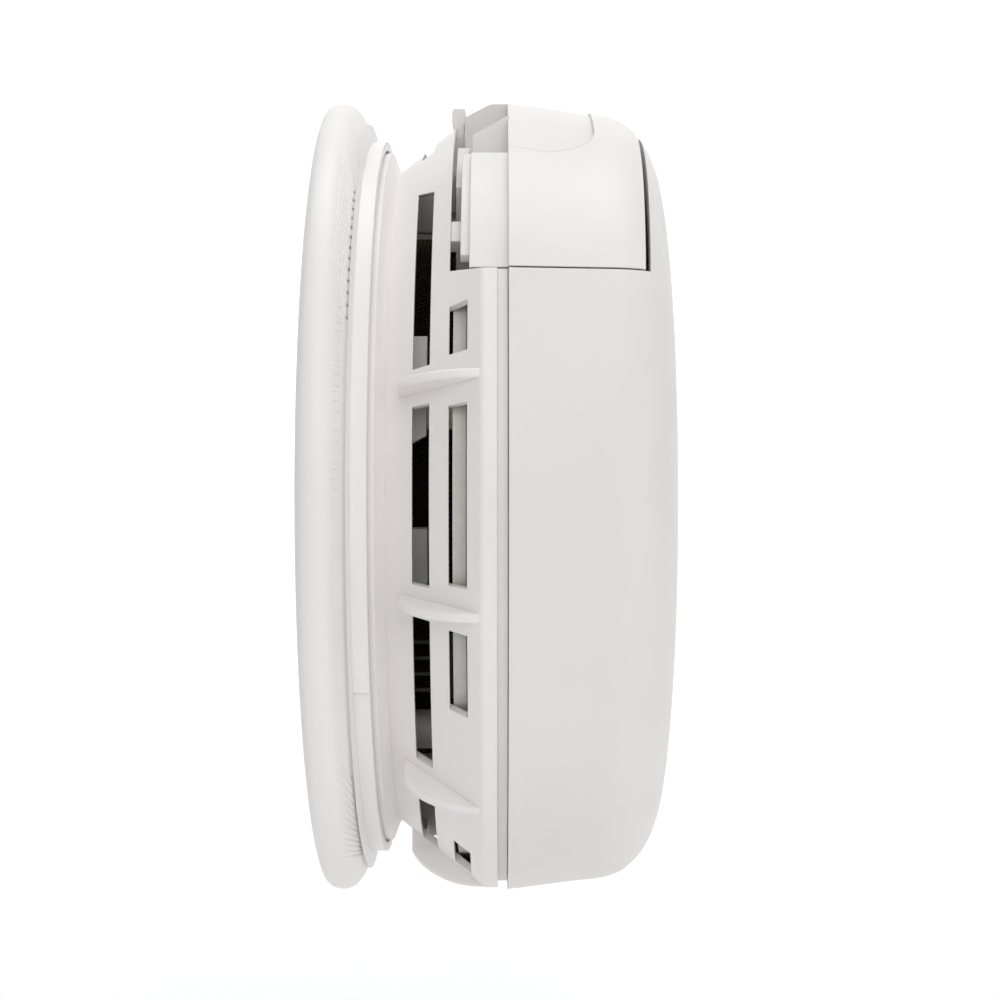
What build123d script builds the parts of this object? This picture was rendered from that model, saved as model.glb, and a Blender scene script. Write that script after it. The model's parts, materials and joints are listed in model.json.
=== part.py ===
"""Smoke alarm on its twist-lock mounting bracket, as an assembly of separate pieces.

Millimetres. X runs out of the wall along the alarm's axis, Z is up and Y runs away from the viewer
of the side view. The origin is the centre of the bracket's wall face. Angles round the axis are
counted from -Y (0) towards +Z (90), so the battery drawer is centred at 90.
"""

import os
from math import cos, radians, sin

from build123d import *

# ---------------------------------------------------------------- driving dimensions
shell_wall = 2.0

# mounting bracket
web_thickness = 2.4
ring_depth = 7.8
ring_back_radius = 68.8
collar_radius = 64.2
collar_depth = 10.3
collar_inner_radius = 62.7

# alarm base
base_back = 4.6
base_wall = 1.8
base_flange_radius = 62.2
flange_front = 11.2
neck_x = 12.7
neck_radius = 58.7
cone_end_x = 27.3
band_radius = 70.6
band_front = 29.9
groove_radius = 69.4
base_front = 31.5
base_inner_radius = 67.6
rear_slot = (17.0, 19.65)
front_slot = (22.65, 25.4)

# cover
seam_x = 31.6
cover_radius = 70.9
face_edge_x = 57.2
face_edge_radius = 60.0
face_centre_x = 59.0
button_hole_radius = 22.3

# battery drawer
drawer_plane_z = 34.5
drawer_gap = 0.25
drawer_wall = 2.8
slit_width = 0.8
slit_x = 52.7
slit_slope = 0.047
base_cut_x = 22.6
drawer_back = 25.6
drawer_floor = 27.1
skirt_radius = 69.3
tray_half_width = 30.4
tray_wall = 1.4
tray_inner_z = 21.4
tray_top_x = 42.6
pocket_z = 55.7
pocket_radius = 62.0
scoop_half_width = 42.8
scoop_end_x = 46.0
cell_radius = 7.2
cell_half = 24.2
cell_shift = 2.7
nub_length = 1.4
cell_x = 34.7
cell_z = (30.1, 45.3)

# circuit board
board_back = 23.2
board_front = 25.2
board_radius = 65.2
board_top_z = 59.0

# twist lock
hook_angles = (45, 165, 285)

snap_angles = (5, -55, -125, 175)
fin_angles = (15, -15, -45, -75, -105, -135, -165, -195)
post_angles = (15, 150, 227, 313)
post_radius = 52.5


# ---------------------------------------------------------------- helpers
def radial_plane(angle):
    """The half-plane through the axis at an angle: local x is X, local y is the radius."""
    a = radians(angle)
    return Plane(origin=(0, 0, 0), x_dir=(1, 0, 0), z_dir=(0, -sin(a), -cos(a)))


def at(angle, radius):
    """(y, z) of a point round the axis."""
    a = radians(angle)
    return (-radius * cos(a), radius * sin(a))


def sector(x0, x1, r0, r1, low, high, mode=Mode.ADD):
    """A block between two depths, two radii and two angles, added to or cut from the open part."""
    with BuildSketch(radial_plane(high)) as section:
        with Locations(((x0 + x1) / 2, (r0 + r1) / 2)):
            Rectangle(x1 - x0, r1 - r0)
    revolve(section.sketch, axis=Axis.X, revolution_arc=high - low, mode=mode)


def across(x):
    """A plane across the axis at depth x: local x is Y, local y is Z."""
    return Plane(origin=(x, 0, 0), x_dir=(0, 1, 0), z_dir=(1, 0, 0))


def disc(x0, x1, radius, centre=(0, 0), mode=Mode.ADD):
    """A cylinder along X between two depths, at (y, z) = centre."""
    with BuildSketch(across(x0)) as section:
        with Locations(centre):
            Circle(radius)
    extrude(section.sketch, amount=x1 - x0, mode=mode)


def block(x, y, z, mode=Mode.ADD):
    """A box given by its low and high value on each axis."""
    with Locations(((x[0] + x[1]) / 2, (y[0] + y[1]) / 2, (z[0] + z[1]) / 2)):
        Box(x[1] - x[0], y[1] - y[0], z[1] - z[0], mode=mode)


def save(part, name):
    """Labels a finished piece and writes its STEP file."""
    part.label = name
    export_step(part, f"parts/{name}.step")


def dome_profile(inset):
    """The cover's outline from the seam to the axis, moved inwards by inset."""
    Polyline(
        (seam_x, 0), (seam_x, cover_radius - inset), (seam_x + 12, 69.4 - inset)
    )
    Spline(
        (seam_x + 12, 69.4 - inset),
        (seam_x + 17, 68.8 - inset),
        (52.2 - 0.3 * inset, 67.3 - inset),
        (55.3 - 0.7 * inset, 64.1 - inset),
        (face_edge_x - inset, face_edge_radius - inset),
        tangents=[(1, -0.1), (0.35, -1)],
    )
    Spline(
        (face_edge_x - inset, face_edge_radius - inset),
        (58.1 - inset, 52.0),
        (58.75 - inset, 30.0),
        (face_centre_x - inset, 0),
        tangents=[(0.25, -1), (0, -1)],
    )
    Line((face_centre_x - inset, 0), (seam_x, 0))


def dome(inset):
    """The solid inside the cover's outline."""
    with BuildPart() as made:
        with BuildSketch(Plane.XZ):
            with BuildLine():
                dome_profile(inset)
            make_face()
        revolve(axis=Axis.X)
    return made.part


def drawer_prism(gap, slit):
    """Everything on the drawer's side of its parting planes, gap inside them."""
    z0 = drawer_plane_z + gap
    x0 = slit_x + slit
    top = 80
    with BuildPart() as made:
        with BuildSketch(Plane.XZ):
            with BuildLine():
                Polyline(
                    (seam_x - 10, z0),
                    (x0, z0),
                    (x0 + slit_slope * (top - z0), top),
                    (seam_x - 10, top),
                    close=True,
                )
            make_face()
        extrude(amount=90, both=True)
    return made.part


os.makedirs("parts", exist_ok=True)

# ---------------------------------------------------------------- mounting bracket
with BuildPart() as mounting_bracket:
    with BuildSketch(Plane.XZ):
        with BuildLine():
            Polyline((0, 0), (0, ring_back_radius))
            Spline(
                (0, ring_back_radius),
                (0.7, 70.2),
                (2.4, 70.8),
                (5.7, 68.9),
                (7.2, 66.6),
                (ring_depth, 64.6),
                tangents=[(0.2, 1), (0.15, -1)],
            )
            Polyline(
                (ring_depth, 64.6),
                (ring_depth, collar_radius),
                (collar_depth, collar_radius),
                (collar_depth, collar_inner_radius),
                (web_thickness, collar_inner_radius),
                (web_thickness, 0),
                (0, 0),
            )
        make_face()
    revolve(axis=Axis.X)
    # raised land on the collar, over part of its turn
    sector(7.0, collar_depth, collar_radius - 1, collar_radius + 0.5, -28, 56)
    # the rim is hollow from the back, with ribs between the pockets
    for n in range(24):
        with BuildSketch(radial_plane(n * 15 + 7)):
            with BuildLine():
                Polyline(
                    (0, 64.9), (0, 67.0), (1.8, 68.7), (3.4, 68.4), (5.4, 66.6), (6.6, 64.9), close=True
                )
            make_face()
        revolve(axis=Axis.X, revolution_arc=14, mode=Mode.SUBTRACT)
    # stiffening rings on the front of the web
    for ring in (30.0, 56.0):
        with BuildSketch(across(web_thickness)):
            Circle(ring + 0.7)
            Circle(ring - 0.7, mode=Mode.SUBTRACT)
        extrude(amount=1.0)
    # two straight slots for wall screws or a ceiling box
    with BuildSketch(across(0)):
        with Locations((0, 42), (0, -42)):
            SlotOverall(14, 4.6, rotation=90)
    extrude(amount=web_thickness + 1, mode=Mode.SUBTRACT)
    # hooks that the alarm's back locks on
    for start in hook_angles:
        sector(web_thickness - 0.2, 8.2, 48.8, 51.2, start - 2, start + 2)
        sector(6.7, 8.2, 48.0, 52.0, start - 8, start + 2)
save(mounting_bracket.part, "mounting_bracket")

# ---------------------------------------------------------------- alarm base
cone_slope = (band_radius - 0.2 - neck_radius) / (cone_end_x - neck_x)
cone_inner_x = 13.1
cone_inner_radius = 57.4

fin_half = 0.75
tab_half_width = 5.0
pivot_x = 22.0
pivot_z = 50.0
pivot_radius = 0.8

with BuildPart() as fin:
    with BuildSketch(Plane.XZ):
        with BuildLine():
            Polyline((cone_end_x, 69.5), (14.9, 59.6), (14.9, 64.5))
            Spline((14.9, 64.5), (16.4, 66.6), (19.3, 68.7), (23, 70.1), (cone_end_x, band_radius - 0.05))
            Line((cone_end_x, band_radius - 0.05), (cone_end_x, 69.5))
        make_face()
    extrude(amount=fin_half, both=True)
    fillet(fin.edges().filter_by(GeomType.BSPLINE), 0.45)

with BuildPart() as base_housing:
    with BuildSketch(Plane.XZ):
        with BuildLine():
            Polyline(
                (base_back, 0),
                (base_back, base_flange_radius - 0.6),
                (base_back + 0.6, base_flange_radius),
                (flange_front, base_flange_radius),
                (12.1, 59.8),
                (neck_x, neck_radius),
                (cone_end_x, band_radius - 0.2),
                (cone_end_x + 0.5, band_radius),
                (band_front, band_radius),
                (band_front, groove_radius),
                (base_front, groove_radius),
                (base_front, base_inner_radius),
                (cone_inner_x + (base_inner_radius - cone_inner_radius) / cone_slope, base_inner_radius),
                (cone_inner_x, cone_inner_radius),
                (12.3, 57.0),
                (11.3, 58.3),
                (10.6, 60.4),
                (base_back + base_wall, 60.4),
                (base_back + base_wall, 0),
                close=True,
            )
        make_face()
    revolve(axis=Axis.X)
    # fins across the vents
    for angle in fin_angles:
        add(Rot(90 - angle, 0, 0) * fin.part)
    # vents: the rear row and the front row, mirrored to the far side
    rear_row = ((18, 49.5), (-12.5, 12.5), (-42.4, -17.2), (-74, -51.3), (-90, -78))
    front_row = ((18.5, 25.5), (-11.6, 11.6), (-29.4, -17.7), (-70.7, -59))
    for low, high in rear_row:
        sector(*rear_slot, 55, 72, low, high, Mode.SUBTRACT)
        sector(*rear_slot, 55, 72, 180 - high, 180 - low, Mode.SUBTRACT)
    for low, high in front_row:
        sector(*front_slot, 60, 74, low, high, Mode.SUBTRACT)
        sector(*front_slot, 60, 74, 180 - high, 180 - low, Mode.SUBTRACT)
    sector(rear_slot[0], 19.0, 55, 72, 68, 112, Mode.SUBTRACT)
    # the highest side vents end on a level edge
    for low, high in ((-60, -36), (36, 60)):
        block(rear_slot, (low, high), (44, 49.3), Mode.SUBTRACT)
    # ring behind the seam, broken at the cover's tongues
    disc(base_front - 0.4, base_front + 0.5, 68.6)
    disc(base_front - 0.5, base_front + 0.6, 68.1, mode=Mode.SUBTRACT)
    for angle in snap_angles:
        sector(base_front, base_front + 2, 67.9, 68.8, angle - 6, angle + 6, Mode.SUBTRACT)
    # opening for the battery drawer, and a notch for its release tab
    block((base_cut_x, 40), (-80, 80), (drawer_plane_z, 80), Mode.SUBTRACT)
    block((19.4, 40), (-tab_half_width - 1, tab_half_width + 1), (60, 80), Mode.SUBTRACT)
    # keyed openings for the bracket's hooks
    for start in hook_angles:
        sector(4, 7, 48.3, 51.7, start - 2.8, start + 7, Mode.SUBTRACT)
        sector(4, 7, 47.4, 52.6, start + 6, start + 18, Mode.SUBTRACT)
    # posts for the circuit board
    for angle in post_angles:
        disc(base_back + base_wall - 0.1, board_back, 3.2, at(angle, post_radius))
        disc(board_back - 9, board_back + 1, 1.2, at(angle, post_radius), Mode.SUBTRACT)
    # guide blocks behind the highest side vents
    for low, high in ((19.0, 26.4), (153.6, 161.0)):
        sector(base_back + base_wall - 0.1, 18.9, 52.2, 56.4, low, high)
    for low, high in ((-15.5, -5.8), (185.8, 195.5)):
        sector(base_back + base_wall - 0.1, 18.9, 48.8, 51.8, low, high)
    # slanted webs beside the highest posts, and baffles that split the vents' inner space
    for side in (-1, 1):
        with BuildSketch(Plane.XZ.offset(-side * 53.7)):
            Polygon((6.3, 2.5), (18.9, 9.3), (18.9, 15), (6.3, 15), align=None)
        extrude(amount=1.1, both=True)
        baffle = (min(side * 8.3, side * 9.5), max(side * 8.3, side * 9.5))
        block((base_back + base_wall - 0.1, 22.4), baffle, (47.2, 57.6))
        block((9.0, board_back), baffle, (-57.6, -47.2))
        block((17.5, board_back), baffle, (-60.8, -57.0))
    # small stops beside the drawer's back
    for low, high in ((37.5, 41.5), (138.5, 142.5)):
        sector(21.5, 24.6, 63.0, 65.4, low, high)
    # ears for the release tab's pin
    for side in (-1, 1):
        inner = side * (tab_half_width + 0.3)
        outer = side * (tab_half_width + 2.0)
        block((base_back + base_wall - 0.1, 23.2), (min(inner, outer), max(inner, outer)), (47.6, 52.4))
    with BuildSketch(Plane.XZ):
        with Locations((pivot_x, pivot_z)):
            Circle(pivot_radius)
    extrude(amount=12, both=True, mode=Mode.SUBTRACT)
    # recesses for the cover's snap tongues
    for angle in snap_angles:
        sector(27.3, 29.4, base_inner_radius - 0.5, 68.4, angle - 5, angle + 5, Mode.SUBTRACT)
save(base_housing.part, "base_housing")

# ---------------------------------------------------------------- release tab and its pin
with BuildPart() as release_tab:
    with BuildSketch(Plane.XZ):
        with BuildLine():
            Polyline(
                (pivot_x - 1.0, pivot_z),
                (21.3, 61.0),
                (21.95, 64.8),
                (21.95, 67.4),
                (21.6, 68.1),
                (21.6, 69.9),
            )
            ThreePointArc((21.6, 69.9), (21.78, 70.32), (22.2, 70.5))
            Line((22.2, 70.5), (23.45, 70.5))
            ThreePointArc((23.45, 70.5), (23.87, 70.32), (24.05, 69.9))
            Polyline(
                (24.05, 69.9),
                (24.05, 68.1),
                (23.7, 67.4),
                (23.7, 62.4),
                (24.0, 61.8),
                (24.7, 61.4),
                (24.7, 60.2),
                (23.4, 58.6),
                (pivot_x + 1.0, pivot_z),
                (pivot_x - 1.0, pivot_z),
            )
        make_face()
        with Locations((pivot_x, pivot_z)):
            Circle(1.7)
    extrude(amount=tab_half_width, both=True)
    with BuildSketch(Plane.XZ):
        with Locations((pivot_x, pivot_z)):
            Circle(pivot_radius + 0.06)
    extrude(amount=10, both=True, mode=Mode.SUBTRACT)
save(release_tab.part, "release_tab")

with BuildPart() as release_tab_pin:
    with BuildSketch(Plane.XZ):
        with Locations((pivot_x, pivot_z)):
            Circle(pivot_radius)
    extrude(amount=tab_half_width + 2.0, both=True)
save(release_tab_pin.part, "release_tab_pin")

# ---------------------------------------------------------------- front cover
outer_dome = dome(0)
inner_dome = dome(shell_wall)
bulkhead = dome(shell_wall / 2) & Pos(seam_x + 12, 0, drawer_plane_z - 1.0) * Box(23, 150, 1.6)
with BuildPart() as front_cover:
    add(outer_dome)
    add(inner_dome, mode=Mode.SUBTRACT)
    disc(seam_x - 1, seam_x + 0.01, cover_radius - shell_wall, mode=Mode.SUBTRACT)
    # collar that guides the test button
    disc(51.5, 58.0, button_hole_radius + 1.6)
    disc(50, 62, button_hole_radius, mode=Mode.SUBTRACT)
    # skirt that clamps the board's rim
    with BuildSketch(Plane.XZ):
        with BuildLine():
            Polyline(
                (board_front, 62.4),
                (board_front, 63.6),
                (32.2, 64.9),
                (33.4, 69.5),
                (34.6, 69.5),
                (34.6, 67.8),
                (33.6, 63.6),
                (32.4, 62.4),
                close=True,
            )
        make_face()
    revolve(axis=Axis.X)
    # bulkhead behind the drawer, with the tray's mouth
    add(bulkhead)
    block((20, 46.2), (-34.0, 34.0), (30, 36), Mode.SUBTRACT)
    add(drawer_prism(0, slit_width), mode=Mode.SUBTRACT)
    # horn grille: arcs in two halves
    for n in range(8):
        inner = 29.0 + 3.4 * n
        for low, high in ((-128, -91.5), (-88.5, -52)):
            sector(54, 62, inner, inner + 1.7, low, high, Mode.SUBTRACT)
    # holes for the two light pipes
    for z in (-6.5, 6.5):
        disc(50, 62, 1.75, (-42, z), mode=Mode.SUBTRACT)
    # snap tongues that hold the base
    for angle in snap_angles:
        sector(27.0, 34.0, 65.9, 67.3, angle - 4, angle + 4)
        sector(31.8, 36.0, 65.9, 69.4, angle - 4, angle + 4)
        sector(27.5, 28.6, 65.9, 68.1, angle - 4, angle + 4)
save(front_cover.part, "front_cover")

# ---------------------------------------------------------------- battery drawer
gusset_back = 24.0
drawer_hollow = dome(drawer_wall)
drawer_side = drawer_prism(drawer_gap, 0)
pocket_end_x = seam_x + 1.4

with BuildPart() as scoop:
    with BuildSketch(Plane.XY.offset(40)):
        with Locations((scoop_end_x - 20, 0)):
            RectangleRounded(40, 2 * scoop_half_width, 10)
        with Locations((seam_x + 20, 0)):
            Rectangle(40, 100, mode=Mode.INTERSECT)
    extrude(amount=40)
    with BuildSketch(across(seam_x - 0.1)):
        with Locations((0, 8)):
            Circle(63.4)
    with BuildSketch(across(scoop_end_x + 0.1)):
        with Locations((0, 8)):
            Circle(61.0)
    loft(mode=Mode.SUBTRACT)

with BuildPart() as battery_drawer:
    add(outer_dome)
    add(drawer_hollow, mode=Mode.SUBTRACT)
    disc(seam_x - 1, seam_x + 0.01, cover_radius - drawer_wall, mode=Mode.SUBTRACT)
    # back skirt, floor, and the wall round the finger pocket
    disc(drawer_back, pocket_end_x, skirt_radius)
    with BuildSketch(across(drawer_floor)):
        Circle(pocket_radius - 1.4)
        with Locations((0, pocket_z - 1.4 - 100)):
            Rectangle(200, 200)
        with BuildSketch(mode=Mode.PRIVATE) as inside_skirt:
            Circle(skirt_radius - 1.6)
        add(inside_skirt.sketch, mode=Mode.INTERSECT)
    extrude(amount=pocket_end_x - drawer_floor, mode=Mode.SUBTRACT)
    with BuildSketch(across(drawer_back)):
        Circle(80)
        Circle(pocket_radius, mode=Mode.SUBTRACT)
        with Locations((0, pocket_z - 100)):
            Rectangle(200, 200, mode=Mode.SUBTRACT)
    extrude(amount=seam_x - drawer_back, mode=Mode.SUBTRACT)
    add(drawer_side, mode=Mode.INTERSECT)
    # thumb scoop in the panel
    add(scoop.part, mode=Mode.SUBTRACT)
    # finger ribs and the lip between the middle two
    for y in (-30, 30):
        with BuildSketch(Plane.XZ.offset(-y)):
            Polygon((drawer_back, 55), (drawer_back, 60.7), (seam_x + 0.2, 64.0), (seam_x + 0.2, 55), align=None)
        extrude(amount=0.7, both=True)
    for y in (-10, 10):
        with BuildSketch(Plane.XZ.offset(-y)):
            Polygon(
                (drawer_back, 60.8),
                (gusset_back, 60.8),
                (gusset_back, 67.7),
                (28.6, 70.1),
                (seam_x + 0.2, 70.1),
                (seam_x + 0.2, 60.8),
                align=None,
            )
        extrude(amount=0.7, both=True)
    sector(28.6, seam_x + 0.4, 69.8, 70.9, 81.4, 98.6)
    # rails along the skirt's back
    for low, high in ((33, 55.5), (124.5, 147)):
        sector(24.2, drawer_back + 0.2, 66.2, 67.9, low, high)
    # tray for two cells, open at the front
    block((drawer_back, tray_top_x), (-tray_half_width, tray_half_width), (tray_inner_z, pocket_z))
    block(
        (drawer_floor, tray_top_x + 1),
        (tray_wall - tray_half_width, tray_half_width - tray_wall),
        (tray_inner_z + tray_wall, pocket_z - tray_wall),
        Mode.SUBTRACT,
    )
    # windows in the tray's ends for the terminals
    for side in (-1, 1):
        end = side * (tray_half_width - 0.7)
        block((31, 38), (end - 1, end + 1), (23.6, 29.6), Mode.SUBTRACT)
save(battery_drawer.part, "battery_drawer")

# ---------------------------------------------------------------- cells and their contacts
contact_y = tray_half_width - tray_wall


def cell(z, end):
    """An AA cell lying along Y, its positive end towards end (-1 or 1)."""
    with BuildPart() as made:
        with BuildSketch(Plane.XZ.offset(-end * cell_shift)):
            with Locations((cell_x, z)):
                Circle(cell_radius)
        extrude(amount=cell_half, both=True)
        chamfer(made.edges().filter_by(GeomType.CIRCLE), 0.4)
        with BuildSketch(Plane.XZ.offset(-end * (cell_shift + cell_half - 1))):
            with Locations((cell_x, z)):
                Circle(2.7)
        extrude(amount=-end * (1 + nub_length))
    return made.part


save(cell(cell_z[0], 1), "inner_cell")
save(cell(cell_z[1], -1), "outer_cell")

# flat contacts: a link across both cells at one end, two terminals at the other
with BuildPart() as drawer_contacts:
    block((30.7, 38.7), (contact_y - 0.4, contact_y), (25.5, 49.5))
    block((30.7, 38.7), (-contact_y, 0.4 - contact_y), (24.5, 35.5))
    block((30.7, 38.7), (-contact_y, 0.4 - contact_y), (40.0, 50.5))
save(drawer_contacts.part, "drawer_contacts")

spring_wire = 0.3
spring_start = cell_half - cell_shift + 2 * spring_wire
with BuildPart() as drawer_springs:
    for z, end in ((cell_z[0], -1), (cell_z[1], 1)):
        with BuildLine() as coil:
            Helix(
                pitch=1.5,
                height=contact_y - 1.0 - spring_start,
                radius=3.2,
                center=(cell_x, end * spring_start, z),
                direction=(0, end, 0),
            )
        with BuildSketch(Plane(origin=coil.line @ 0, z_dir=coil.line % 0)):
            Circle(spring_wire)
        sweep()
save(drawer_springs.part, "drawer_springs")

# ---------------------------------------------------------------- circuit board
with BuildPart() as circuit_board:
    disc(board_back, board_front, board_radius)
    for side in (-1, 1):
        low = min(side * 42, side * 80)
        block((20, 30), (low, low + 38), (30, 80), Mode.SUBTRACT)
    # flat top edge below the drawer's middle ribs, and a notch for the release tab
    block((20, 30), (-43, 43), (board_top_z, 80), Mode.SUBTRACT)
    block((20, 30), (-7.8, 7.8), (46.5, 80), Mode.SUBTRACT)
    for angle in post_angles:
        disc(20, 30, 1.5, at(angle, post_radius), mode=Mode.SUBTRACT)
save(circuit_board.part, "circuit_board")

with BuildPart() as board_screws:
    for angle in post_angles:
        disc(board_front, board_front + 1.8, 2.7, at(angle, post_radius))
        disc(board_front - 8, board_front + 0.1, 1.1, at(angle, post_radius))
        centre = at(angle, post_radius)
        for span in ((3.6, 0.7), (0.7, 3.6)):
            y = (centre[0] - span[0] / 2, centre[0] + span[0] / 2)
            z = (centre[1] - span[1] / 2, centre[1] + span[1] / 2)
            block((board_front + 1.0, board_front + 3), y, z, Mode.SUBTRACT)
save(board_screws.part, "board_screws")

# ---------------------------------------------------------------- battery bay on the board
bay_half_width = 31.0
bay_roof_x = 43.2
with BuildPart() as battery_bay:
    block((board_front, bay_roof_x + 1.6), (-bay_half_width - 1.6, bay_half_width + 1.6), (18.6, 34.2))
    block((board_front, bay_roof_x), (-bay_half_width, bay_half_width), (20.4, 40), Mode.SUBTRACT)
    # the roof is open over most of the tray
    block((bay_roof_x - 1, 50), (-24, 24), (24.5, 40), Mode.SUBTRACT)
save(battery_bay.part, "battery_bay")

with BuildPart() as bay_contacts:
    for side in (-1, 1):
        face = side * bay_half_width
        low = min(face, face - side * 0.3)
        block((board_front, 38), (low, low + 0.3), (23.0, 29.5))
save(bay_contacts.part, "bay_contacts")

# ---------------------------------------------------------------- smoke chamber behind the board
chamber_centre = (-12, 23)
chamber_radius = 19.0
chamber_cap_x = 9.6
vane_count = 14
with BuildPart() as chamber_base:
    disc(board_back - 1.5, board_back, chamber_radius, chamber_centre)
    disc(board_back - 4.0, board_back - 1.5, chamber_radius - 1.6, chamber_centre)
    disc(board_back - 4.0, board_back - 1.5, chamber_radius - 5.0, chamber_centre, Mode.SUBTRACT)
    # labyrinth vanes
    with BuildSketch(across(12.0)):
        with Locations(chamber_centre):
            with PolarLocations(15.2, vane_count):
                Rectangle(3.6, 0.8, rotation=40)
    extrude(amount=board_back - 1.6 - 12.0)
save(chamber_base.part, "chamber_base")

with BuildPart() as chamber_cap:
    disc(chamber_cap_x, chamber_cap_x + 1.4, chamber_radius, chamber_centre)
    disc(chamber_cap_x + 1.4, chamber_cap_x + 2.4, chamber_radius, chamber_centre)
    disc(chamber_cap_x + 1.4, 20, chamber_radius - 0.7, chamber_centre, Mode.SUBTRACT)
    disc(chamber_cap_x - 0.6, chamber_cap_x, 6.0, chamber_centre)
save(chamber_cap.part, "chamber_cap")

# fine screen standing on the base, all round inside the vents
with BuildPart() as vent_screen:
    disc(base_back + base_wall, board_back, 46.8)
    disc(base_back, board_front, 46.4, mode=Mode.SUBTRACT)
save(vent_screen.part, "vent_screen")


def sensor(angle):
    """A bullet-shaped optical part lying in the chamber and pointing at its centre."""
    with BuildPart() as made:
        with BuildSketch(Plane.XZ):
            with BuildLine():
                Polyline((0, 12.5), (0, 7.6))
                Polyline((0, 7.6), (0, 6.4), (0.9, 6.7))
                Spline((0.9, 6.7), (1.4, 7.2), (1.5, 8.0))
                Polyline((1.5, 8.0), (1.5, 11.4), (1.9, 11.4), (1.9, 12.5), (0, 12.5))
            make_face()
        revolve(axis=Axis.Z)
    return Pos(16.8, chamber_centre[0], chamber_centre[1]) * Rot(angle, 0, 0) * made.part


save(sensor(70), "infrared_emitter")
save(sensor(-70), "photo_receiver")

# ---------------------------------------------------------------- ion chamber behind the board
can_centre = (-17, -15)
can_radius = 16.0
can_back = 10.0
can_skin = 0.5
can_corner = 2.0
with BuildPart() as ion_can:
    with BuildSketch(Plane.XZ):
        with BuildLine():
            Polyline(
                (can_back, 0),
                (can_back, can_radius - can_corner),
                (can_back + can_corner, can_radius),
                (board_back - can_skin, can_radius),
                (board_back - can_skin, can_radius + 1.4),
                (board_back, can_radius + 1.4),
                (board_back, can_radius - can_skin),
                (can_back + can_corner + 0.2, can_radius - can_skin),
                (can_back + can_skin, can_radius - can_corner - 0.2),
                (can_back + can_skin, 0),
                (can_back, 0),
            )
        make_face()
    revolve(axis=Axis.X)
    with BuildSketch(across(can_back - 1)):
        with PolarLocations(10.5, 12):
            Circle(1.5)
        with PolarLocations(5.5, 6):
            Circle(1.5)
    extrude(amount=3, mode=Mode.SUBTRACT)
    for n in range(18):
        sector(15.0, 20.5, can_radius - 2, can_radius + 1, n * 20, n * 20 + 7, Mode.SUBTRACT)
save(Pos(0, can_centre[0], can_centre[1]) * ion_can.part, "ion_can")

with BuildPart() as ion_collector:
    disc(16.8, 17.3, 10.0, can_centre)
    disc(16.8, 17.3, 3.0, can_centre, Mode.SUBTRACT)
    for turn in (90, 210, 330):
        y, z = at(turn, 8.6)
        disc(17.2, board_back, 0.6, (can_centre[0] + y, can_centre[1] + z))
save(ion_collector.part, "ion_collector")

with BuildPart() as ion_source_holder:
    disc(20.6, board_back, 4.2, can_centre)
    disc(19.0, 20.6, 2.2, can_centre)
    disc(18.9, 19.4, 1.4, can_centre, Mode.SUBTRACT)
save(ion_source_holder.part, "ion_source_holder")

# ---------------------------------------------------------------- horn on the board's front
horn_centre = (0, -38)
horn_radius = 15.0
horn_top_x = 44.0
piezo_x = 33.0
with BuildPart() as horn_housing:
    disc(board_front, horn_top_x, horn_radius, horn_centre)
    disc(board_front, piezo_x - 1.0, horn_radius - 3.0, horn_centre, Mode.SUBTRACT)
    disc(piezo_x - 1.0, piezo_x + 1.0, horn_radius - 1.2, horn_centre, Mode.SUBTRACT)
    disc(piezo_x + 1.0, horn_top_x - 1.4, horn_radius - 2.2, horn_centre, Mode.SUBTRACT)
    disc(horn_top_x - 1.4, horn_top_x, 4.0, horn_centre, Mode.SUBTRACT)
save(horn_housing.part, "horn_housing")

with BuildPart() as horn_disc:
    disc(piezo_x, piezo_x + 0.3, horn_radius - 1.4, horn_centre)
save(horn_disc.part, "horn_disc")

with BuildPart() as horn_ceramic:
    disc(piezo_x - 0.3, piezo_x, 9.0, horn_centre)
save(horn_ceramic.part, "horn_ceramic")

# ---------------------------------------------------------------- test button
button_radius = 21.9
button_travel = 1.2
button_seat_x = 51.1
stem_end_x = 32.6
with BuildPart() as test_button:
    with BuildSketch(Plane.XZ):
        with BuildLine():
            Spline(
                (60.3, 0),
                (60.1, 11.0),
                (59.5, button_radius - 1.4),
                (58.6, button_radius),
                tangents=[(0, 1), (-1, 0.3)],
            )
            Polyline(
                (58.6, button_radius),
                (button_seat_x, button_radius),
                (button_seat_x, 23.4),
                (button_seat_x - 1.2, 23.4),
                (button_seat_x - 1.2, 20.5),
                (57.2, 20.5),
                (58.2, 11.0),
                (58.4, 3.4),
                (52.0, 2.6),
                (stem_end_x, 2.6),
                (stem_end_x, 0),
                (60.3, 0),
            )
        make_face()
    revolve(axis=Axis.X)
    # stiffening webs under the crown, outside the return spring
    for turn in range(0, 360, 60):
        with BuildSketch(radial_plane(turn)):
            with Locations((56.2, 13.2)):
                Rectangle(3.6, 15.4)
        extrude(amount=0.5, both=True)
save(test_button.part, "test_button")

with BuildPart() as tact_switch:
    block((board_front, board_front + 3.4), (-3, 3), (-3, 3))
    for y, z in ((-2.2, -2.2), (-2.2, 2.2), (2.2, -2.2), (2.2, 2.2)):
        disc(board_front + 3.4, board_front + 3.7, 0.4, (y, z))
save(tact_switch.part, "tact_switch")

with BuildPart() as switch_plunger:
    disc(board_front + 3.4, board_front + 6.1, 1.7)
save(switch_plunger.part, "switch_plunger")

# tube on the board that carries the return spring round the button's stem
with BuildPart() as spring_seat:
    disc(board_front, 40.0, 6.4)
    disc(board_front - 1, 41.0, 4.8, mode=Mode.SUBTRACT)
    disc(38.4, 40.0, 6.4)
    disc(38.0, 41.0, 3.2, mode=Mode.SUBTRACT)
save(spring_seat.part, "spring_seat")

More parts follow.
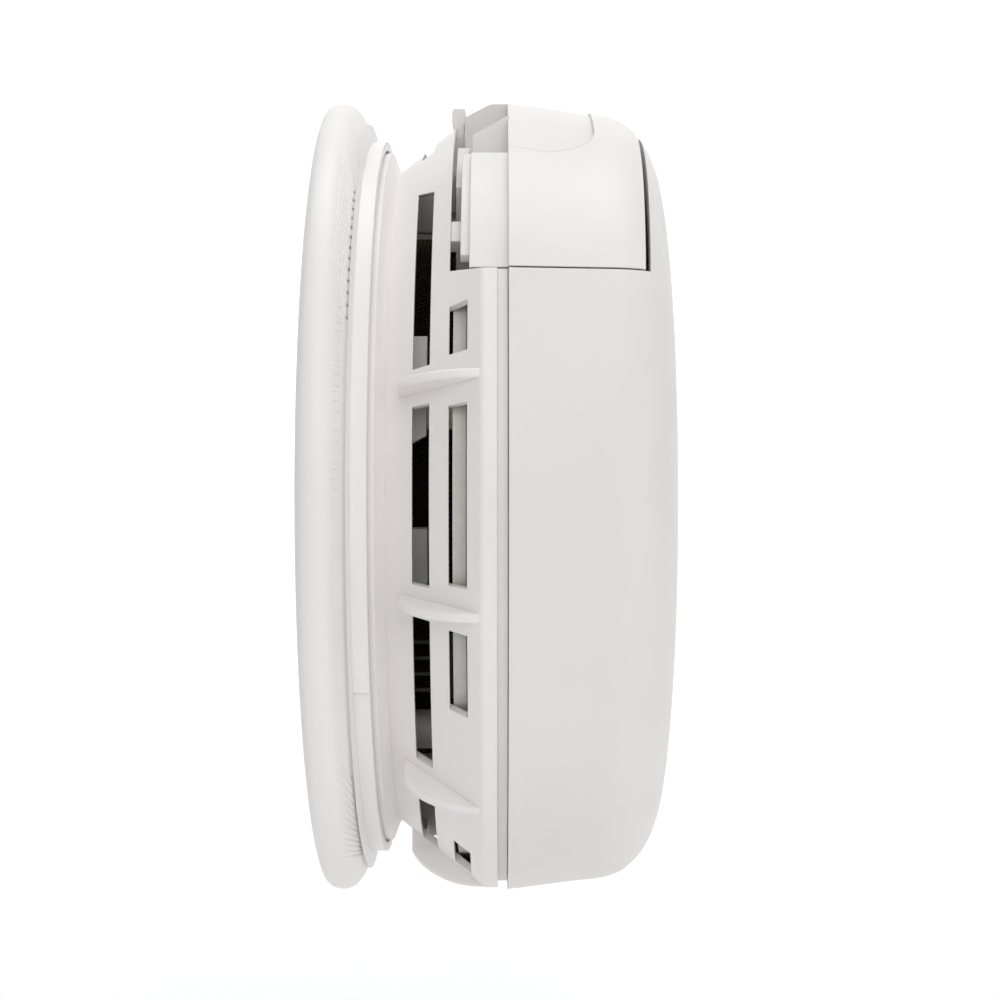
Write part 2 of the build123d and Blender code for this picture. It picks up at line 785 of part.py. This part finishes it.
with BuildPart() as button_spring:
    with BuildLine() as spring_line:
        Helix(pitch=2.6, height=17.2, radius=4.3, center=(40.4, 0, 0), direction=(1, 0, 0))
    with BuildSketch(Plane(origin=spring_line.line @ 0, z_dir=spring_line.line % 0)):
        Circle(0.3)
    sweep()
save(button_spring.part, "button_spring")

# ---------------------------------------------------------------- lamps and light pipes
lamp_y = -42
lamp_z = 6.5


def lamp(z):
    """A 3 mm lamp standing on the board."""
    with BuildPart() as made:
        disc(board_front, board_front + 1.0, 1.9, (lamp_y, z))
        disc(board_front + 1.0, board_front + 3.4, 1.5, (lamp_y, z))
        fillet(made.faces().sort_by(Axis.X)[-1].edges(), 1.4)
    return made.part


save(lamp(lamp_z), "power_lamp")
save(lamp(-lamp_z), "alarm_lamp")

with BuildPart() as light_pipes:
    for z in (-lamp_z, lamp_z):
        disc(30.4, 58.7, 1.5, (lamp_y, z))
        disc(54.4, 56.0, 2.6, (lamp_y, z))
    block((54.4, 55.4), (lamp_y - 0.8, lamp_y + 0.8), (-lamp_z, lamp_z))
save(light_pipes.part, "light_pipes")

# ---------------------------------------------------------------- board components
with BuildPart() as microcontroller:
    block((board_front + 0.15, board_front + 2.4), (16.2, 23.8), (-21.4, -8.6))
    chamfer(microcontroller.faces().sort_by(Axis.X)[-1].edges(), 0.4)
    for n in range(10):
        z = -20.7 + 1.27 * n
        block((board_front, board_front + 0.9), (14.9, 25.1), (z - 0.2, z + 0.2))
save(microcontroller.part, "microcontroller")

with BuildPart() as horn_driver:
    block((board_front + 0.15, board_front + 1.8), (-27.0, -23.0), (-22.0, -17.0))
    for n in range(4):
        z = -21.4 + 1.27 * n
        block((board_front, board_front + 0.7), (-28.0, -22.0), (z - 0.2, z + 0.2))
save(horn_driver.part, "horn_driver")

with BuildPart() as capacitors:
    for y, z, radius in ((38, -14, 4.0), (47, -8, 3.2), (38, -27, 3.2)):
        disc(board_front, board_front + 1.0, radius, (y, z))
        disc(board_front + 1.0, board_front + 1.6, radius - 0.3, (y, z))
        disc(board_front + 1.6, board_front + 9.5, radius, (y, z))
save(capacitors.part, "capacitors")

with BuildPart() as boost_inductor:
    disc(board_front, board_front + 1.0, 5.0, (31, 4))
    disc(board_front + 1.0, board_front + 6.0, 3.4, (31, 4))
    disc(board_front + 6.0, board_front + 7.0, 5.0, (31, 4))
save(boost_inductor.part, "boost_inductor")

with BuildPart() as resistors:
    with BuildSketch(across(board_front)):
        with Locations((-30, 8), (-30, 2), (-33, -6), (12, -14), (12, -19), (24, -27), (30, -33)):
            Rectangle(3.2, 1.6)
        with Locations((-38, -22), (-34, -30), (44, 8), (48, 3), (52, -18)):
            Rectangle(1.6, 3.2)
    extrude(amount=0.6)
save(resistors.part, "resistors")

# film capacitor and a pin header behind the board, facing the vents
with BuildPart() as film_capacitor:
    block((13.4, board_back), (22, 34), (-3, 10))
    fillet(film_capacitor.edges().filter_by(Axis.X), 1.2)
save(film_capacitor.part, "film_capacitor")

with BuildPart() as pin_header:
    block((board_back - 2.5, board_back), (-47.3, -44.7), (-32.2, -22.0))
    for n in range(4):
        z = -30.9 + 2.54 * n
        block((14.6, board_back - 2.4), (-46.3, -45.7), (z - 0.3, z + 0.3))
save(pin_header.part, "pin_header")
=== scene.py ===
"""Looks for the smoke alarm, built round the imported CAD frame. Metres, in the CAD's frame:
+X out of the wall, +Z up, -Y towards the camera."""

import json
import math

import bmesh
import bpy
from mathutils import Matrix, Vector
from mathutils.bvhtree import BVHTree


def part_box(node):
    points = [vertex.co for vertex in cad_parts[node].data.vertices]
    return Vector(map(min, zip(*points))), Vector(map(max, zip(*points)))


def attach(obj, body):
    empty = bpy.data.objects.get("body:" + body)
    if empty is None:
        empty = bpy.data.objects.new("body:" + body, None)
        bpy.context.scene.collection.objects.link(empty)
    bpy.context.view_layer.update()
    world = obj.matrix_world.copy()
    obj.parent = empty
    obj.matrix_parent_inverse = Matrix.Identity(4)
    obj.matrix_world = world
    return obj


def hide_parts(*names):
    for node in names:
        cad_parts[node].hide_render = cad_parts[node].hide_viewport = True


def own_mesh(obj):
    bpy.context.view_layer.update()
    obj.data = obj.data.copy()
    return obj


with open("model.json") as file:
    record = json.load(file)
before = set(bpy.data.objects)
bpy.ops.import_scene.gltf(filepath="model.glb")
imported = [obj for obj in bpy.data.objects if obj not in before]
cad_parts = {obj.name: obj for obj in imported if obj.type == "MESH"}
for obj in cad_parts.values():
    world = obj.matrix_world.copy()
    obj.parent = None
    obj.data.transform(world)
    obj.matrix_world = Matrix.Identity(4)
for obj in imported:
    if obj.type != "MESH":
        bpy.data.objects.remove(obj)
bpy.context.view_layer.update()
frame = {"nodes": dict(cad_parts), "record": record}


MM = 0.001
NODES = frame["nodes"]

# ------------------------------------------------------------------ camera
CAMERA_X = 30.3 * MM
CAMERA_Z = -0.65 * MM
CAMERA_DISTANCE = 340.8 * MM
LENS = 66.5
SENSOR_WIDTH = 36.0
scene = bpy.context.scene
camera_data = bpy.data.cameras.new("view")
camera_data.lens = LENS
camera_data.sensor_width = SENSOR_WIDTH
camera_data.clip_start = 0.01
camera_data.clip_end = 20.0
camera = bpy.data.objects.new("view", camera_data)
camera.location = (CAMERA_X, -CAMERA_DISTANCE, CAMERA_Z)
camera.rotation_euler = (math.pi / 2, 0, 0)
scene.collection.objects.link(camera)
scene.camera = camera
scene.view_settings.view_transform = "Standard"


# ------------------------------------------------------------------ materials
def new_material(name):
    """A material with an empty node tree, its shader and its object coordinates."""
    made = bpy.data.materials.new(name)
    made.use_nodes = True
    tree = made.node_tree
    tree.nodes.clear()
    out = tree.nodes.new("ShaderNodeOutputMaterial")
    shader = tree.nodes.new("ShaderNodeBsdfPrincipled")
    tree.links.new(shader.outputs["BSDF"], out.inputs["Surface"])
    place = tree.nodes.new("ShaderNodeTexCoord").outputs["Object"]
    return made, tree, shader, place


def noise(tree, place, scale, detail=3.0, rough=0.55):
    node = tree.nodes.new("ShaderNodeTexNoise")
    node.inputs["Scale"].default_value = scale
    node.inputs["Detail"].default_value = detail
    node.inputs["Roughness"].default_value = rough
    tree.links.new(place, node.inputs["Vector"])
    return node.outputs["Fac"]


def ramp(tree, value, low, high, a, b):
    """Colours a to b as value goes from low to high."""
    node = tree.nodes.new("ShaderNodeValToRGB")
    node.color_ramp.elements[0].position = low
    node.color_ramp.elements[1].position = high
    node.color_ramp.elements[0].color = (*a, 1)
    node.color_ramp.elements[1].color = (*b, 1)
    tree.links.new(value, node.inputs["Fac"])
    return node.outputs["Color"]


def spread(tree, value, low, high):
    """value's 0 to 1 mapped to low to high."""
    node = tree.nodes.new("ShaderNodeMapRange")
    node.inputs["To Min"].default_value = low
    node.inputs["To Max"].default_value = high
    tree.links.new(value, node.inputs["Value"])
    return node.outputs["Result"]


def bump(tree, shader, height, distance, strength=1.0, under=None):
    """Fine relief on the shader's normal, on top of another normal if one is given."""
    node = tree.nodes.new("ShaderNodeBump")
    node.inputs["Distance"].default_value = distance
    node.inputs["Strength"].default_value = strength
    tree.links.new(height, node.inputs["Height"])
    if under is not None:
        tree.links.new(under, node.inputs["Normal"])
    tree.links.new(node.outputs["Normal"], shader.inputs["Normal"])


def rounded_edges(tree, radius):
    """A normal that softens the moulding's sharp edges."""
    node = tree.nodes.new("ShaderNodeBevel")
    node.samples = 6
    node.inputs["Radius"].default_value = radius
    return node.outputs["Normal"]


def shade(colour, factor):
    return tuple(min(1.0, c * factor) for c in colour)


def moulded(name, colour, rough=0.42, grain=1900.0, depth=0.03, cloud=0.02, edge=0.3):
    """Injection-moulded plastic: a fine spark-eroded grain, and faint clouding in tone and gloss."""
    made, tree, shader, place = new_material(name)
    clouds = noise(tree, place, 34.0, 4.0)
    tone = ramp(tree, clouds, 0.3, 0.7, shade(colour, 1 - cloud), shade(colour, 1 + cloud))
    tree.links.new(tone, shader.inputs["Base Color"])
    gloss = spread(tree, noise(tree, place, 120.0), rough - 0.06, rough + 0.06)
    tree.links.new(gloss, shader.inputs["Roughness"])
    shader.inputs["Specular IOR Level"].default_value = 0.45
    bump(tree, shader, noise(tree, place, grain, 2.0), depth * MM, 0.6, rounded_edges(tree, edge * MM))
    return made


def metal(name, colour, rough=0.3, grain=900.0, stretch=(1, 1, 1), depth=0.004):
    """Drawn or rolled metal with a faint directional grain."""
    made, tree, shader, place = new_material(name)
    mapping = tree.nodes.new("ShaderNodeMapping")
    mapping.inputs["Scale"].default_value = stretch
    tree.links.new(place, mapping.inputs["Vector"])
    lines = noise(tree, mapping.outputs["Vector"], grain, 4.0)
    tone = ramp(tree, lines, 0.3, 0.7, shade(colour, 0.88), shade(colour, 1.08))
    tree.links.new(tone, shader.inputs["Base Color"])
    shader.inputs["Metallic"].default_value = 1.0
    tree.links.new(spread(tree, lines, rough - 0.08, rough + 0.1), shader.inputs["Roughness"])
    bump(tree, shader, lines, depth * MM, 0.5)
    return made


def glossy(name, colour, rough=0.12, transmission=0.0, coat=0.0, cloud=0.05):
    """Smooth moulded epoxy, film or sleeve."""
    made, tree, shader, place = new_material(name)
    clouds = noise(tree, place, 180.0, 3.0)
    tone = ramp(tree, clouds, 0.3, 0.7, shade(colour, 1 - cloud), shade(colour, 1 + cloud))
    tree.links.new(tone, shader.inputs["Base Color"])
    gloss = spread(tree, noise(tree, place, 400.0), rough * 0.7, rough * 1.3)
    tree.links.new(gloss, shader.inputs["Roughness"])
    shader.inputs["Transmission Weight"].default_value = transmission
    shader.inputs["Coat Weight"].default_value = coat
    shader.inputs["IOR"].default_value = 1.49
    return made


WHITE = (0.80, 0.775, 0.758)


def laminate(name):
    """Circuit board: green mask on its two faces, bare tan laminate on its edge."""
    made, tree, shader, place = new_material(name)
    face = tree.nodes.new("ShaderNodeNewGeometry")
    split = tree.nodes.new("ShaderNodeSeparateXYZ")
    tree.links.new(face.outputs["Normal"], split.inputs["Vector"])
    size = tree.nodes.new("ShaderNodeMath")
    size.operation = "ABSOLUTE"
    tree.links.new(split.outputs["X"], size.inputs[0])
    on_face = tree.nodes.new("ShaderNodeMath")
    on_face.operation = "GREATER_THAN"
    on_face.inputs[1].default_value = 0.5
    tree.links.new(size.outputs["Value"], on_face.inputs[0])
    fibres = noise(tree, place, 700.0, 3.0)
    edge = ramp(tree, fibres, 0.3, 0.7, (0.66, 0.645, 0.59), (0.72, 0.705, 0.65))
    tracks = tree.nodes.new("ShaderNodeTexVoronoi")
    tracks.feature = "DISTANCE_TO_EDGE"
    tracks.inputs["Scale"].default_value = 150.0
    tree.links.new(place, tracks.inputs["Vector"])
    mask = ramp(tree, tracks.outputs["Distance"], 0.06, 0.1, (0.42, 0.43, 0.27), (0.33, 0.31, 0.20))
    mix = tree.nodes.new("ShaderNodeMix")
    mix.data_type = "RGBA"
    tree.links.new(on_face.outputs["Value"], mix.inputs["Factor"])
    tree.links.new(edge, mix.inputs["A"])
    tree.links.new(mask, mix.inputs["B"])
    tree.links.new(mix.outputs["Result"], shader.inputs["Base Color"])
    shader.inputs["Roughness"].default_value = 0.5
    bump(tree, shader, fibres, 0.01 * MM, 0.4)
    return made


def wrapped_cell(name, positive):
    """A cell's foil sleeve: a dark body and a copper band over its positive (1 or -1 along Y) third."""
    made, tree, shader, place = new_material(name)
    split = tree.nodes.new("ShaderNodeSeparateXYZ")
    tree.links.new(place, split.inputs["Vector"])
    along = tree.nodes.new("ShaderNodeMath")
    along.operation = "MULTIPLY"
    along.inputs[1].default_value = positive
    tree.links.new(split.outputs["Y"], along.inputs[0])
    in_band = tree.nodes.new("ShaderNodeMapRange")
    in_band.inputs["From Min"].default_value = 9.0 * MM
    in_band.inputs["From Max"].default_value = 9.2 * MM
    tree.links.new(along.outputs["Value"], in_band.inputs["Value"])
    dark = ramp(tree, noise(tree, place, 90.0), 0.3, 0.7, (0.030, 0.031, 0.035), (0.045, 0.045, 0.05))
    copper = ramp(tree, noise(tree, place, 90.0), 0.3, 0.7, (0.50, 0.25, 0.10), (0.56, 0.29, 0.12))
    mix = tree.nodes.new("ShaderNodeMix")
    mix.data_type = "RGBA"
    tree.links.new(in_band.outputs["Result"], mix.inputs["Factor"])
    tree.links.new(dark, mix.inputs["A"])
    tree.links.new(copper, mix.inputs["B"])
    tree.links.new(mix.outputs["Result"], shader.inputs["Base Color"])
    shader.inputs["Metallic"].default_value = 0.5
    tree.links.new(spread(tree, noise(tree, place, 300.0), 0.22, 0.34), shader.inputs["Roughness"])
    shader.inputs["Coat Weight"].default_value = 0.6
    bump(tree, shader, noise(tree, place, 500.0), 0.01 * MM, 0.3)
    return made


LOOKS = {
    # Painted light: bracket, base and tab are lighter copies and the cover a darker copy of the one white
    # plastic, each set to how light falls on that part.
    "bracket_plastic": moulded("bracket_plastic", shade(WHITE, 1.05)),
    "base_plastic": moulded("base_plastic", shade(WHITE, 1.05)),
    "cover_plastic": moulded("cover_plastic", shade(WHITE, 0.97)),
    "drawer_plastic": moulded("drawer_plastic", WHITE),
    "tab_plastic": moulded("tab_plastic", shade(WHITE, 1.08)),
    "button_plastic": moulded("button_plastic", WHITE),
    "bay_plastic": moulded("bay_plastic", shade(WHITE, 0.93)),
    "pin_steel": metal("pin_steel", (0.6, 0.6, 0.61)),
    "screw_steel": metal("screw_steel", (0.62, 0.63, 0.66)),
    "board_laminate": laminate("board_laminate"),
    "chamber_black": moulded("chamber_black", (0.022, 0.022, 0.024), rough=0.6),
    # Painted shade: the vent screen is near black so it reads as the unlit inside of the vents.
    "screen_steel": metal("screen_steel", (0.012, 0.012, 0.012), rough=0.6),
    "sensor_epoxy": glossy("sensor_epoxy", (0.05, 0.03, 0.07), transmission=0.3),
    "can_metal": metal("can_metal", (0.62, 0.60, 0.55), rough=0.28),
    "source_metal": metal("source_metal", (0.66, 0.62, 0.52), rough=0.3),
    "horn_plastic": moulded("horn_plastic", shade(WHITE, 0.9)),
    "brass": metal("brass", (0.80, 0.60, 0.28), rough=0.25, stretch=(1, 1, 6)),
    "piezo_ceramic": moulded("piezo_ceramic", (0.72, 0.71, 0.67), rough=0.45, grain=3000.0, depth=0.01),
    "switch_black": moulded("switch_black", (0.03, 0.03, 0.033), rough=0.45),
    "plunger_plastic": moulded("plunger_plastic", (0.05, 0.05, 0.055), rough=0.4),
    "spring_steel": metal("spring_steel", (0.64, 0.64, 0.66), rough=0.2),
    "lamp_green": glossy("lamp_green", (0.10, 0.50, 0.16), transmission=0.6),
    "lamp_red": glossy("lamp_red", (0.60, 0.03, 0.03), transmission=0.6),
    "light_pipe": glossy("light_pipe", (0.93, 0.95, 0.96), rough=0.06, transmission=0.95, cloud=0.01),
    "chip_black": moulded("chip_black", (0.025, 0.025, 0.028), rough=0.5, grain=2600.0),
    "capacitor_sleeve": glossy("capacitor_sleeve", (0.03, 0.035, 0.06), rough=0.2),
    "ferrite": moulded("ferrite", (0.06, 0.06, 0.062), rough=0.5),
    "resistor_ceramic": moulded("resistor_ceramic", (0.06, 0.06, 0.065), rough=0.4),
    "film_box": glossy("film_box", (0.50, 0.12, 0.05), rough=0.25),
    "contact_nickel": metal("contact_nickel", (0.70, 0.68, 0.62), rough=0.22),
    "cell_wrap": wrapped_cell("cell_wrap", 1),
}
NODE_LOOKS = {"outer_cell": wrapped_cell("cell_wrap_turned", -1)}
# The weave's dark brassy colour is partly the wire's own and partly painted shade of the unlit vent
# interior.
WEAVE_LOOK = metal("screen_wire", (0.085, 0.075, 0.05), rough=0.45)

for part in frame["record"]["subparts"]:
    node = NODES[part["node"]]
    node.data.materials.clear()
    node.data.materials.append(NODE_LOOKS.get(part["node"], LOOKS[part["material_slot"]]))


# ------------------------------------------------------------------ detail pieces
def polar(x, radius, angle):
    """A point at depth x, a radius, and an angle counted from -Y (0) towards +Z (90)."""
    a = math.radians(angle)
    return Vector((x, -radius * math.cos(a), radius * math.sin(a)))


def skin(node):
    """A CAD node's surface, for laying details on it."""
    data = NODES[node].data
    return BVHTree.FromPolygons([v.co for v in data.vertices], [tuple(f.vertices) for f in data.polygons])


def finish_piece(name, mesh, body, slot, smooth=True, look=None):
    """Turns a bmesh into a piece that rides on a body and has its slot's look."""
    bmesh.ops.recalc_face_normals(mesh, faces=mesh.faces)
    for face in mesh.faces:
        face.smooth = smooth
    data = bpy.data.meshes.new(name)
    mesh.to_mesh(data)
    mesh.free()
    made = bpy.data.objects.new(name, data)
    scene.collection.objects.link(made)
    made.data.materials.append(look or LOOKS[slot])
    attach(made, body)
    return made


def raised_bar(mesh, surface, start, end, width, height, steps=8, sink=0.08 * MM):
    """Adds a rounded bar that lies on a surface from start to end and stands height proud of it."""
    across_steps = 6
    along = end - start
    top, bottom = [], []
    for i in range(steps + 1):
        u = i / steps
        spot, normal = surface.find_nearest(start + along * u)[:2]
        side = along.cross(normal).normalized()
        rise_u = math.sqrt(max(0.0, 1 - abs(2 * u - 1) ** 5))
        top_row, bottom_row = [], []
        for j in range(across_steps + 1):
            v = 2 * j / across_steps - 1
            rise = rise_u * math.sqrt(max(0.0, 1 - abs(v) ** 3))
            place, up = surface.find_nearest(spot + side * (v * width / 2))[:2]
            top_row.append(mesh.verts.new(place + up * (height * rise - sink * (1 - rise))))
            bottom_row.append(mesh.verts.new(place - up * (2 * sink)))
        top.append(top_row)
        bottom.append(bottom_row)
    for rows in (top, bottom):
        for i in range(steps):
            for j in range(across_steps):
                mesh.faces.new((rows[i][j], rows[i + 1][j], rows[i + 1][j + 1], rows[i][j + 1]))
    for i in range(steps):
        for j in (0, across_steps):
            mesh.faces.new((top[i][j], top[i + 1][j], bottom[i + 1][j], bottom[i][j]))
    for i in (0, steps):
        for j in range(across_steps):
            mesh.faces.new((top[i][j], top[i][j + 1], bottom[i][j + 1], bottom[i][j]))


BRACKET_SKIN = skin("mounting_bracket")
MARK_HEIGHT = 0.12 * MM
MARK_WIDTH = 0.42 * MM
MARK_PITCH = 1.12
MARK_GROUP_GAP = 1.5
RIDGE_HEIGHT = MARK_HEIGHT * 1.6
RIDGE_WIDTH = 0.6 * MM
RIDGE_COUNT = 13
RIDGE_START = -58
RIDGE_PITCH = 1.9
RIDGE_LEAN = 8.5


def index_marks():
    """Plain raised strokes on the bracket's rim, in uneven groups. They form no letters."""
    mesh = bmesh.new()
    angle = 1.0
    for group in (4, 2, 7, 5, 6, 3, 4):
        for n in range(group):
            low, high = (5.4, 6.7) if n % 2 else (5.6, 6.6)
            lean = 0.35 if n % 3 else -0.2
            raised_bar(
                mesh, BRACKET_SKIN,
                polar(low * MM, 69.3 * MM, angle), polar(high * MM, 67.7 * MM, angle + lean),
                MARK_WIDTH, MARK_HEIGHT,
            )
            angle += MARK_PITCH
        angle += MARK_GROUP_GAP
    finish_piece("bracket_index_marks", mesh, "bracket", "bracket_plastic")


def grip_ridges():
    """Fine slanting ridges on the bracket's rim, in four groups."""
    mesh = bmesh.new()
    for quarter in range(4):
        for n in range(RIDGE_COUNT):
            angle = RIDGE_START + 90 * quarter + RIDGE_PITCH * n
            raised_bar(
                mesh, BRACKET_SKIN,
                polar(4.7 * MM, 69.8 * MM, angle), polar(7.2 * MM, 66.6 * MM, angle - RIDGE_LEAN),
                RIDGE_WIDTH, RIDGE_HEIGHT, steps=12,
            )
    finish_piece("bracket_grip_ridges", mesh, "bracket", "bracket_plastic")


def woven_screen():
    """Crossed wires over the vent screen, all round."""
    low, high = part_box("vent_screen")
    radius = high[1] - 0.02 * MM
    wires = 330
    rows = 20
    mesh = bmesh.new()
    grid = []
    for j in range(rows + 1):
        x = low[0] + (high[0] - low[0]) * (0.04 + 0.92 * j / rows)
        half = 0.5 * (j % 2)
        grid.append([mesh.verts.new(polar(x, radius, 360 * (i + half) / wires)) for i in range(wires)])
    for j in range(rows - 1):
        odd = j % 2
        for i in range(wires):
            left = grid[j + 1][(i - 1 + odd) % wires]
            right = grid[j + 1][(i + odd) % wires]
            if j + 2 <= rows:
                mesh.faces.new((grid[j][i], right, grid[j + 2][i], left))
    made = finish_piece(
        "vent_screen_weave", mesh, "alarm", "screen_steel", smooth=False, look=WEAVE_LOOK
    )
    weave = made.modifiers.new("weave", "WIREFRAME")
    weave.thickness = 0.26 * MM
    weave.use_replace = True


def coil(mesh, start, length, radius, wire, turns, closed_turns=1.0):
    """Adds a compression spring along +X from start, its last turns at each end wound close."""
    ring_steps, sides = 26, 8
    total = turns + 2 * closed_turns
    steps = int(total * ring_steps)
    pitch = (length - wire * 2 * closed_turns * 2) / turns
    rows = []
    x = 0.0
    for n in range(steps + 1):
        turn = n / ring_steps
        a = 2 * math.pi * turn
        outward = Vector((0, math.cos(a), math.sin(a)))
        centre = start + Vector((x + wire, 0, 0)) + outward * radius
        row = []
        for k in range(sides):
            b = 2 * math.pi * k / sides
            sideways = Vector((wire * math.sin(b), 0, 0))
            row.append(mesh.verts.new(centre + outward * (wire * math.cos(b)) + sideways))
        rows.append(row)
        close = turn < closed_turns or turn >= total - closed_turns
        x += (wire * 2 if close else pitch) / ring_steps
    for n in range(steps):
        here, ahead = rows[n], rows[n + 1]
        for k in range(sides):
            mesh.faces.new((here[k], ahead[k], ahead[(k + 1) % sides], here[(k + 1) % sides]))
    mesh.faces.new(rows[0])
    mesh.faces.new(list(reversed(rows[-1])))


def return_spring():
    """The test button's spring, with closed ends."""
    low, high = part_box("button_spring")
    wire = 0.3 * MM
    length = high[0] - low[0] - 2 * wire
    mesh = bmesh.new()
    coil(mesh, Vector((low[0], 0, 0)), length, high[1] - wire, wire, turns=5.5)
    made = finish_piece("button_return_spring", mesh, "alarm", "spring_steel")
    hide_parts("button_spring")
    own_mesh(made)


index_marks()
grip_ridges()
woven_screen()
return_spring()


# ------------------------------------------------------------------ floor, backdrop and light
FLOOR_Z = -0.13
FLOOR_FRONT_Y = -2.0
SWEEP_START_Y = 0.35
SWEEP_RADIUS = 0.5
SWEEP_STEPS = 16
STAGE_TOP_Z = 2.4
HALF_WIDTH = 2.2


def sweep_stage():
    """A seamless floor that curves up behind the object."""
    profile = [(FLOOR_FRONT_Y, FLOOR_Z)]
    for step in range(SWEEP_STEPS + 1):
        a = math.pi / 2 * step / SWEEP_STEPS
        back = SWEEP_START_Y + SWEEP_RADIUS * math.sin(a)
        profile.append((back, FLOOR_Z + SWEEP_RADIUS * (1 - math.cos(a))))
    profile.append((SWEEP_START_Y + SWEEP_RADIUS, STAGE_TOP_Z))
    mesh = bmesh.new()
    left = [mesh.verts.new((-HALF_WIDTH, y, z)) for y, z in profile]
    right = [mesh.verts.new((HALF_WIDTH, y, z)) for y, z in profile]
    for n in range(len(profile) - 1):
        mesh.faces.new((left[n], right[n], right[n + 1], left[n + 1]))
    for face in mesh.faces:
        face.smooth = True
    data = bpy.data.meshes.new("floor")
    mesh.to_mesh(data)
    mesh.free()
    made = bpy.data.objects.new("floor", data)
    scene.collection.objects.link(made)
    look, tree, shader, place = new_material("floor")
    tone = ramp(tree, noise(tree, place, 6.0), 0.3, 0.7, (0.86, 0.86, 0.86), (0.88, 0.88, 0.88))
    tree.links.new(tone, shader.inputs["Base Color"])
    shader.inputs["Roughness"].default_value = 0.9
    shader.inputs["Specular IOR Level"].default_value = 0.1
    shader.inputs["Emission Color"].default_value = (1, 1, 1, 1)
    shader.inputs["Emission Strength"].default_value = 0.05
    made.data.materials.append(look)


def area_light(name, place, target, size, watts, colour=(1, 1, 1)):
    data = bpy.data.lights.new(name, "AREA")
    data.shape = "RECTANGLE"
    data.size, data.size_y = size
    data.energy = watts
    data.color = colour
    made = bpy.data.objects.new(name, data)
    made.location = place
    made.rotation_euler = (Vector(target) - Vector(place)).to_track_quat("-Z", "Y").to_euler()
    scene.collection.objects.link(made)


sweep_stage()
world = bpy.data.worlds.new("studio")
world.use_nodes = True
world.node_tree.nodes["Background"].inputs["Color"].default_value = (1.0, 1.0, 1.0, 1)
world.node_tree.nodes["Background"].inputs["Strength"].default_value = 0.35
scene.world = world
SUBJECT = (0.03, 0, 0)
area_light("key", (0.15, -1.0, 0.55), SUBJECT, (0.9, 0.9), 4.1)
area_light("side_fill", (0.9, -0.7, 0.1), SUBJECT, (0.7, 0.7), 1.8)
area_light("top", (0.05, -0.1, 1.1), SUBJECT, (0.7, 0.7), 2.1, (0.90, 0.95, 1.0))
area_light("backdrop", (0.0, 0.2, 1.3), (0.0, 0.85, 0.2), (1.6, 0.6), 7.3)
area_light("backdrop_spot", (0.0, 0.25, 1.3), (0.0, 0.85, 0.0), (1.6, 0.5), 2.4)
bpy.data.lights["backdrop_spot"].spread = math.radians(70)
